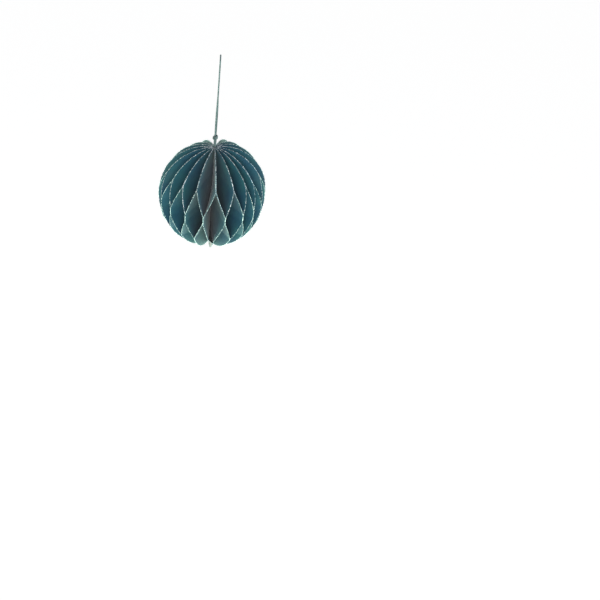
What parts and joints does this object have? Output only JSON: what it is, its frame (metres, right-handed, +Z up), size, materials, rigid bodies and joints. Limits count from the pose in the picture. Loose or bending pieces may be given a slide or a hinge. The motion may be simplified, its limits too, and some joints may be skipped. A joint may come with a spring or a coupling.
{
  "type": "folding paper ball ornament",
  "caption": "Fold-out honeycomb ball of hinged half-round card leaves with glittered edges, hung on a knotted cord loop; it turns on its cord and folds flat like a book.",
  "frame": {"origin": "inside of the top of the cord loop, where the ornament hangs", "axes": "+Z up, along the ball's axis and cord; -Y towards the front, where the closing seam is; the loop stands in the YZ plane"},
  "size_m": [0.0758, 0.0759, 0.149],
  "materials": {
    "leaf_card": "petrol-teal card with a slight sheen, silver glitter on the outer edges",
    "cord": "matt twisted cord, grey-teal",
    "closing_dot": "pale double-sided adhesive dot"
  },
  "bodies": {
    "loop": {"cord_loop": "cord"},
    "leaf_01": {"leaf_01": "leaf_card", "closing_dot_upper": "closing_dot", "closing_dot_lower": "closing_dot"},
    "leaf_02": {"leaf_02": "leaf_card"},
    "leaf_03": {"leaf_03": "leaf_card"},
    "leaf_04": {"leaf_04": "leaf_card"},
    "leaf_05": {"leaf_05": "leaf_card"},
    "leaf_06": {"leaf_06": "leaf_card"},
    "leaf_07": {"leaf_07": "leaf_card"},
    "leaf_08": {"leaf_08": "leaf_card"},
    "leaf_09": {"leaf_09": "leaf_card"},
    "leaf_10": {"leaf_10": "leaf_card"},
    "leaf_11": {"leaf_11": "leaf_card"},
    "leaf_12": {"leaf_12": "leaf_card"},
    "leaf_13": {"leaf_13": "leaf_card"},
    "leaf_14": {"leaf_14": "leaf_card"},
    "leaf_15": {"leaf_15": "leaf_card"},
    "leaf_16": {"leaf_16": "leaf_card"},
    "leaf_17": {"leaf_17": "leaf_card"},
    "leaf_18": {"leaf_18": "leaf_card", "cord_run_left": "cord", "cord_run_right": "cord", "top_knot": "cord", "bottom_knot": "cord"},
    "leaf_19": {"leaf_19": "leaf_card"},
    "leaf_20": {"leaf_20": "leaf_card"},
    "leaf_21": {"leaf_21": "leaf_card"},
    "leaf_22": {"leaf_22": "leaf_card"},
    "leaf_23": {"leaf_23": "leaf_card"},
    "leaf_24": {"leaf_24": "leaf_card"},
    "leaf_25": {"leaf_25": "leaf_card"},
    "leaf_26": {"leaf_26": "leaf_card"},
    "leaf_27": {"leaf_27": "leaf_card"},
    "leaf_28": {"leaf_28": "leaf_card"},
    "leaf_29": {"leaf_29": "leaf_card"},
    "leaf_30": {"leaf_30": "leaf_card"},
    "leaf_31": {"leaf_31": "leaf_card"},
    "leaf_32": {"leaf_32": "leaf_card"},
    "leaf_33": {"leaf_33": "leaf_card"},
    "leaf_34": {"leaf_34": "leaf_card"},
    "leaf_35": {"leaf_35": "leaf_card"},
    "leaf_36": {"leaf_36": "leaf_card"}
  },
  "joints": [
    {"name": "turn", "type": "hinge", "parent": "loop", "child": "leaf_18", "pos_m": [0, 0, -0.11], "axis": [0, 0, 1], "continuous": true},
    {"name": "fold_19", "type": "hinge", "parent": "leaf_18", "child": "leaf_19", "pos_m": [-0.00001, 0.00201, -0.11], "axis": [0, 0, -1], "range_deg": [0, 9.98]},
    {"name": "fold_01", "type": "hinge", "parent": "leaf_02", "child": "leaf_01", "pos_m": [0.00048, -0.00164, -0.11], "axis": [0, 0, 1], "range_deg": [0, 11.75]},
    {"name": "fold_02", "type": "hinge", "parent": "leaf_03", "child": "leaf_02", "pos_m": [0.00088, -0.0017, -0.11], "axis": [0, 0, 1], "range_deg": [0, 10.5]},
    {"name": "fold_03", "type": "hinge", "parent": "leaf_04", "child": "leaf_03", "pos_m": [0.00131, -0.00173, -0.11], "axis": [0, 0, 1], "range_deg": [0, 9.25]},
    {"name": "fold_04", "type": "hinge", "parent": "leaf_05", "child": "leaf_04", "pos_m": [0.00178, -0.00172, -0.11], "axis": [0, 0, 1], "range_deg": [0, 8.13]},
    {"name": "fold_05", "type": "hinge", "parent": "leaf_06", "child": "leaf_05", "pos_m": [0.0023, -0.00171, -0.11], "axis": [0, 0, 1], "range_deg": [0, 7]},
    {"name": "fold_06", "type": "hinge", "parent": "leaf_07", "child": "leaf_06", "pos_m": [0.00207, -0.00114, -0.11], "axis": [0, 0, 1], "range_deg": [0, 8.49]},
    {"name": "fold_07", "type": "hinge", "parent": "leaf_08", "child": "leaf_07", "pos_m": [0.0019, -0.00067, -0.11], "axis": [0, 0, 1], "range_deg": [0, 9.98]},
    {"name": "fold_08", "type": "hinge", "parent": "leaf_09", "child": "leaf_08", "pos_m": [0.00198, -0.00033, -0.11], "axis": [0, 0, 1], "range_deg": [0, 9.98]},
    {"name": "fold_09", "type": "hinge", "parent": "leaf_10", "child": "leaf_09", "pos_m": [0.00201, 0.00002, -0.11], "axis": [0, 0, 1], "range_deg": [0, 9.98]},
    {"name": "fold_10", "type": "hinge", "parent": "leaf_11", "child": "leaf_10", "pos_m": [0.00198, 0.00036, -0.11], "axis": [0, 0, 1], "range_deg": [0, 9.98]},
    {"name": "fold_11", "type": "hinge", "parent": "leaf_12", "child": "leaf_11", "pos_m": [0.00189, 0.0007, -0.11], "axis": [0, 0, 1], "range_deg": [0, 9.98]},
    {"name": "fold_12", "type": "hinge", "parent": "leaf_13", "child": "leaf_12", "pos_m": [0.00174, 0.00102, -0.11], "axis": [0, 0, 1], "range_deg": [0, 9.98]},
    {"name": "fold_13", "type": "hinge", "parent": "leaf_14", "child": "leaf_13", "pos_m": [0.00153, 0.0013, -0.11], "axis": [0, 0, 1], "range_deg": [0, 9.98]},
    {"name": "fold_14", "type": "hinge", "parent": "leaf_15", "child": "leaf_14", "pos_m": [0.00128, 0.00155, -0.11], "axis": [0, 0, 1], "range_deg": [0, 9.98]},
    {"name": "fold_15", "type": "hinge", "parent": "leaf_16", "child": "leaf_15", "pos_m": [0.001, 0.00175, -0.11], "axis": [0, 0, 1], "range_deg": [0, 9.98]},
    {"name": "fold_16", "type": "hinge", "parent": "leaf_17", "child": "leaf_16", "pos_m": [0.00068, 0.00189, -0.11], "axis": [0, 0, 1], "range_deg": [0, 9.98]},
    {"name": "fold_17", "type": "hinge", "parent": "leaf_18", "child": "leaf_17", "pos_m": [0.00034, 0.00198, -0.11], "axis": [0, 0, 1], "range_deg": [0, 9.98]},
    {"name": "fold_20", "type": "hinge", "parent": "leaf_19", "child": "leaf_20", "pos_m": [-0.00036, 0.00198, -0.11], "axis": [0, 0, -1], "range_deg": [0, 9.98]},
    {"name": "fold_21", "type": "hinge", "parent": "leaf_20", "child": "leaf_21", "pos_m": [-0.00069, 0.00189, -0.11], "axis": [0, 0, -1], "range_deg": [0, 9.98]},
    {"name": "fold_22", "type": "hinge", "parent": "leaf_21", "child": "leaf_22", "pos_m": [-0.00101, 0.00174, -0.11], "axis": [0, 0, -1], "range_deg": [0, 9.98]},
    {"name": "fold_23", "type": "hinge", "parent": "leaf_22", "child": "leaf_23", "pos_m": [-0.0013, 0.00154, -0.11], "axis": [0, 0, -1], "range_deg": [0, 9.98]},
    {"name": "fold_24", "type": "hinge", "parent": "leaf_23", "child": "leaf_24", "pos_m": [-0.00154, 0.00129, -0.11], "axis": [0, 0, -1], "range_deg": [0, 9.98]},
    {"name": "fold_25", "type": "hinge", "parent": "leaf_24", "child": "leaf_25", "pos_m": [-0.00174, 0.001, -0.11], "axis": [0, 0, -1], "range_deg": [0, 9.98]},
    {"name": "fold_26", "type": "hinge", "parent": "leaf_25", "child": "leaf_26", "pos_m": [-0.00189, 0.00069, -0.11], "axis": [0, 0, -1], "range_deg": [0, 9.98]},
    {"name": "fold_27", "type": "hinge", "parent": "leaf_26", "child": "leaf_27", "pos_m": [-0.00198, 0.00035, -0.11], "axis": [0, 0, -1], "range_deg": [0, 9.98]},
    {"name": "fold_28", "type": "hinge", "parent": "leaf_27", "child": "leaf_28", "pos_m": [-0.00201, 0, -0.11], "axis": [0, 0, -1], "range_deg": [0, 9.98]},
    {"name": "fold_29", "type": "hinge", "parent": "leaf_28", "child": "leaf_29", "pos_m": [-0.00193, -0.00034, -0.11], "axis": [0, 0, -1], "range_deg": [0, 10.24]},
    {"name": "fold_30", "type": "hinge", "parent": "leaf_29", "child": "leaf_30", "pos_m": [-0.00179, -0.00067, -0.11], "axis": [0, 0, -1], "range_deg": [0, 10.5]},
    {"name": "fold_31", "type": "hinge", "parent": "leaf_30", "child": "leaf_31", "pos_m": [-0.00166, -0.001, -0.11], "axis": [0, 0, -1], "range_deg": [0, 10.38]},
    {"name": "fold_32", "type": "hinge", "parent": "leaf_31", "child": "leaf_32", "pos_m": [-0.00147, -0.00129, -0.11], "axis": [0, 0, -1], "range_deg": [0, 10.25]},
    {"name": "fold_33", "type": "hinge", "parent": "leaf_32", "child": "leaf_33", "pos_m": [-0.00125, -0.00157, -0.11], "axis": [0, 0, -1], "range_deg": [0, 10]},
    {"name": "fold_34", "type": "hinge", "parent": "leaf_33", "child": "leaf_34", "pos_m": [-0.00099, -0.00181, -0.11], "axis": [0, 0, -1], "range_deg": [0, 9.75]},
    {"name": "fold_35", "type": "hinge", "parent": "leaf_34", "child": "leaf_35", "pos_m": [-0.00059, -0.00177, -0.11], "axis": [0, 0, -1], "range_deg": [0, 10.75]},
    {"name": "fold_36", "type": "hinge", "parent": "leaf_35", "child": "leaf_36", "pos_m": [-0.00022, -0.0017, -0.11], "axis": [0, 0, -1], "range_deg": [0, 11.75]}
  ],
  "couplings": [
    {"joint": "fold_01", "follows": "fold_19", "ratio": 1.1777},
    {"joint": "fold_02", "follows": "fold_19", "ratio": 1.0524},
    {"joint": "fold_03", "follows": "fold_19", "ratio": 0.92711},
    {"joint": "fold_04", "follows": "fold_19", "ratio": 0.81435},
    {"joint": "fold_05", "follows": "fold_19", "ratio": 0.70159},
    {"joint": "fold_06", "follows": "fold_19", "ratio": 0.8508},
    {"joint": "fold_07", "follows": "fold_19", "ratio": 1},
    {"joint": "fold_08", "follows": "fold_19", "ratio": 1},
    {"joint": "fold_09", "follows": "fold_19", "ratio": 1},
    {"joint": "fold_10", "follows": "fold_19", "ratio": 1},
    {"joint": "fold_11", "follows": "fold_19", "ratio": 1},
    {"joint": "fold_12", "follows": "fold_19", "ratio": 1},
    {"joint": "fold_13", "follows": "fold_19", "ratio": 1},
    {"joint": "fold_14", "follows": "fold_19", "ratio": 1},
    {"joint": "fold_15", "follows": "fold_19", "ratio": 1},
    {"joint": "fold_16", "follows": "fold_19", "ratio": 1},
    {"joint": "fold_17", "follows": "fold_19", "ratio": 1},
    {"joint": "fold_20", "follows": "fold_19", "ratio": 1},
    {"joint": "fold_21", "follows": "fold_19", "ratio": 1},
    {"joint": "fold_22", "follows": "fold_19", "ratio": 1},
    {"joint": "fold_23", "follows": "fold_19", "ratio": 1},
    {"joint": "fold_24", "follows": "fold_19", "ratio": 1},
    {"joint": "fold_25", "follows": "fold_19", "ratio": 1},
    {"joint": "fold_26", "follows": "fold_19", "ratio": 1},
    {"joint": "fold_27", "follows": "fold_19", "ratio": 1},
    {"joint": "fold_28", "follows": "fold_19", "ratio": 1},
    {"joint": "fold_29", "follows": "fold_19", "ratio": 1.0262},
    {"joint": "fold_30", "follows": "fold_19", "ratio": 1.0524},
    {"joint": "fold_31", "follows": "fold_19", "ratio": 1.0399},
    {"joint": "fold_32", "follows": "fold_19", "ratio": 1.0273},
    {"joint": "fold_33", "follows": "fold_19", "ratio": 1.0023},
    {"joint": "fold_34", "follows": "fold_19", "ratio": 0.97722},
    {"joint": "fold_35", "follows": "fold_19", "ratio": 1.0774},
    {"joint": "fold_36", "follows": "fold_19", "ratio": 1.1777}
  ]
}
